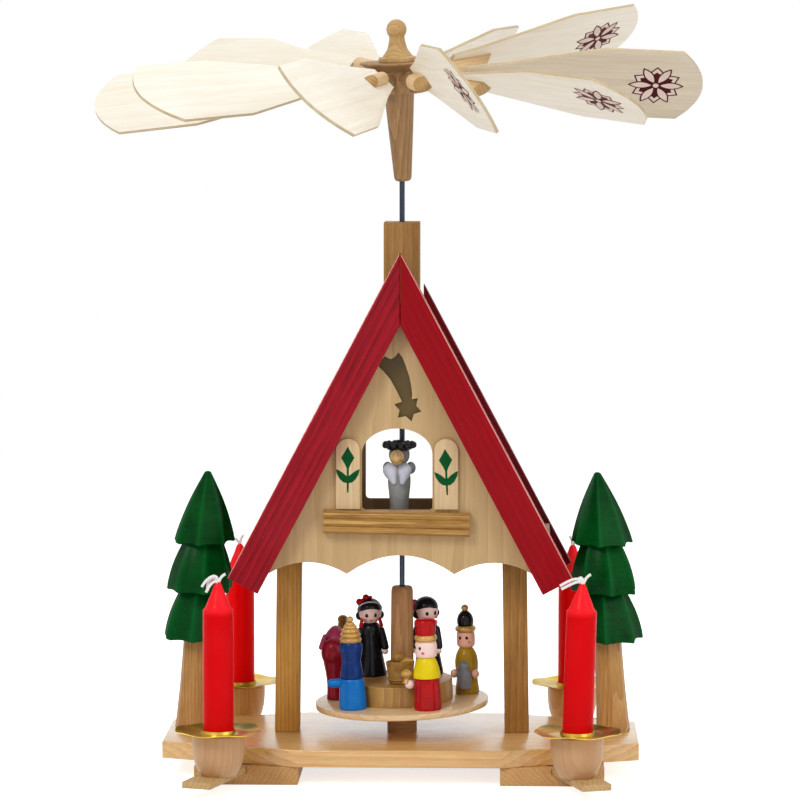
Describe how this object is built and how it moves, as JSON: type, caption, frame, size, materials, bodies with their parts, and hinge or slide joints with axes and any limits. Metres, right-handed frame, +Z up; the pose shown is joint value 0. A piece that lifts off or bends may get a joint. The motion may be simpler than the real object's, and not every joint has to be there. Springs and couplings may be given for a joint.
{
  "type": "rotating candle holder",
  "caption": "Wooden candle carousel: corner candles drive an overhead paddle wheel on a rod, which turns a disc of small figures inside a gabled house.",
  "frame": {"origin": "on the table, under the centre of the base plate", "axes": "+X to the right seen from the front, +Y to the back, +Z up"},
  "size_m": [0.2829, 0.273, 0.3598],
  "materials": {
    "beech": "fine sanded pale wood with a thin satin lacquer",
    "varnished_wood": "straight grain under a glossy warm varnish",
    "birch_ply": "thin pale plywood, satin",
    "brown_wood": "plain brownish wood, satin",
    "red_stain": "deep red stain over open grain",
    "tree_green": "green paint on knife-cut facets, bare trunk",
    "grey_paint": "pale grey paint on turned wood",
    "blue_paint": "glossy blue paint on turned wood",
    "red_paint": "glossy red paint on turned wood",
    "mustard_paint": "mustard paint on turned wood",
    "crimson_paint": "crimson paint on carved wood",
    "black_paint": "black paint on turned wood",
    "gold_paint": "gold-brown paint on carved wood",
    "brass": "polished thin sheet",
    "steel": "drawn rod",
    "wax": "smooth red candle wax",
    "wick_cotton": "loose white cotton strands",
    "skin_paint": "pale pink paint on turned wood",
    "yellow_paint": "yellow paint on turned wood",
    "pale_blue_paint": "light blue paint on turned wood",
    "pink_paint": "pink paint on turned wood",
    "maroon_print": "dark red printed ornament on plywood"
  },
  "bodies": {
    "stand": {"base_plate": "varnished_wood", "foot_left": "beech", "foot_right": "beech", "post_left": "brown_wood", "post_right": "brown_wood", "loft_floor": "birch_ply", "gable_front": "birch_ply", "gable_back": "birch_ply", "barge_board_front_left": "red_stain", "barge_board_back_left": "red_stain", "barge_board_front_right": "red_stain", "barge_board_back_right": "red_stain", "ridge_rail": "beech", "ridge_block": "brown_wood", "shutter_left": "birch_ply", "shutter_right": "birch_ply", "window_sill": "beech", "tree_left": "tree_green", "tree_right": "tree_green", "angel": "grey_paint", "bearing_block": "beech"},
    "rotor": {"rod": "steel", "turntable_disc": "birch_ply", "turntable_platform": "beech", "turntable_column": "brown_wood", "king_blue": "blue_paint", "king_red": "red_paint", "king_mustard": "mustard_paint", "camel": "crimson_paint", "woman_left": "black_paint", "woman_right": "black_paint", "crib": "gold_paint"},
    "wheel": {"wheel_hub": "beech", "finial": "beech"},
    "paddle_1": {"paddle_1": "birch_ply"},
    "paddle_2": {"paddle_2": "birch_ply"},
    "paddle_3": {"paddle_3": "birch_ply"},
    "paddle_4": {"paddle_4": "birch_ply"},
    "paddle_5": {"paddle_5": "birch_ply"},
    "paddle_6": {"paddle_6": "birch_ply"},
    "paddle_7": {"paddle_7": "birch_ply"},
    "paddle_8": {"paddle_8": "birch_ply"},
    "paddle_9": {"paddle_9": "birch_ply"},
    "paddle_10": {"paddle_10": "birch_ply"},
    "holder_front_left": {"arm_front_left": "birch_ply", "cup_front_left": "beech", "drip_plate_front_left": "brass"},
    "candle_front_left": {"candle_front_left": "wax"},
    "holder_front_right": {"arm_front_right": "birch_ply", "cup_front_right": "beech", "drip_plate_front_right": "brass"},
    "candle_front_right": {"candle_front_right": "wax"},
    "holder_back_left": {"arm_back_left": "birch_ply", "cup_back_left": "beech", "drip_plate_back_left": "brass"},
    "candle_back_left": {"candle_back_left": "wax"},
    "holder_back_right": {"arm_back_right": "birch_ply", "cup_back_right": "beech", "drip_plate_back_right": "brass"},
    "candle_back_right": {"candle_back_right": "wax"}
  },
  "joints": [
    {"name": "rotor_spin", "type": "hinge", "parent": "stand", "child": "rotor", "pos_m": [0, 0.002, 0.0181], "axis": [0, 0, 1], "continuous": true},
    {"name": "wheel_lift", "type": "slide", "parent": "rotor", "child": "wheel", "axis": [0, 0, 1], "range_m": [0, 0.025]},
    {"name": "paddle_1_pitch", "type": "hinge", "parent": "wheel", "child": "paddle_1", "pos_m": [-0.00159, -0.00056, 0.3245], "axis": [0.9983, 0.0378, -0.0437], "range_deg": [-30, 30]},
    {"name": "paddle_2_pitch", "type": "hinge", "parent": "wheel", "child": "paddle_2", "pos_m": [-0.00159, -0.00056, 0.3245], "axis": [0.7931, 0.5922, 0.1422], "range_deg": [-30, 30]},
    {"name": "paddle_3_pitch", "type": "hinge", "parent": "wheel", "child": "paddle_3", "pos_m": [-0.00159, -0.00056, 0.3245], "axis": [0.326, 0.9436, 0.0588], "range_deg": [-30, 30]},
    {"name": "paddle_4_pitch", "type": "hinge", "parent": "wheel", "child": "paddle_4", "pos_m": [-0.00159, -0.00056, 0.3245], "axis": [-0.3587, 0.9312, 0.0647], "range_deg": [-30, 30]},
    {"name": "paddle_5_pitch", "type": "hinge", "parent": "wheel", "child": "paddle_5", "pos_m": [-0.00159, -0.00056, 0.3245], "axis": [-0.7654, 0.6435, 0.0112], "range_deg": [-30, 30]},
    {"name": "paddle_6_pitch", "type": "hinge", "parent": "wheel", "child": "paddle_6", "pos_m": [-0.00159, -0.00056, 0.3245], "axis": [-0.9925, -0.0447, -0.1139], "range_deg": [-30, 30]},
    {"name": "paddle_7_pitch", "type": "hinge", "parent": "wheel", "child": "paddle_7", "pos_m": [-0.00159, -0.00056, 0.3245], "axis": [-0.798, -0.5983, -0.0728], "range_deg": [-30, 30]},
    {"name": "paddle_8_pitch", "type": "hinge", "parent": "wheel", "child": "paddle_8", "pos_m": [-0.00159, -0.00056, 0.3245], "axis": [-0.2578, -0.9618, -0.0922], "range_deg": [-30, 30]},
    {"name": "paddle_9_pitch", "type": "hinge", "parent": "wheel", "child": "paddle_9", "pos_m": [-0.00159, -0.00056, 0.3245], "axis": [0.2417, -0.9688, -0.0545], "range_deg": [-30, 30]},
    {"name": "paddle_10_pitch", "type": "hinge", "parent": "wheel", "child": "paddle_10", "pos_m": [-0.00159, -0.00056, 0.3245], "axis": [0.7548, -0.6484, -0.0994], "range_deg": [-30, 30]},
    {"name": "arm_front_left_pull", "type": "slide", "parent": "stand", "child": "holder_front_left", "axis": [-0.3007, -0.9537, 0], "range_m": [0, 0.03]},
    {"name": "candle_front_left_lift", "type": "slide", "parent": "holder_front_left", "child": "candle_front_left", "axis": [0, 0, 1], "range_m": [0, 0.03]},
    {"name": "arm_front_right_pull", "type": "slide", "parent": "stand", "child": "holder_front_right", "axis": [0.3007, -0.9537, 0], "range_m": [0, 0.03]},
    {"name": "candle_front_right_lift", "type": "slide", "parent": "holder_front_right", "child": "candle_front_right", "axis": [0, 0, 1], "range_m": [0, 0.03]},
    {"name": "arm_back_left_pull", "type": "slide", "parent": "stand", "child": "holder_back_left", "axis": [-0.3007, 0.9537, 0], "range_m": [0, 0.03]},
    {"name": "candle_back_left_lift", "type": "slide", "parent": "holder_back_left", "child": "candle_back_left", "axis": [0, 0, 1], "range_m": [0, 0.03]},
    {"name": "arm_back_right_pull", "type": "slide", "parent": "stand", "child": "holder_back_right", "axis": [0.3007, 0.9537, 0], "range_m": [0, 0.03]},
    {"name": "candle_back_right_lift", "type": "slide", "parent": "holder_back_right", "child": "candle_back_right", "axis": [0, 0, 1], "range_m": [0, 0.03]}
  ]
}
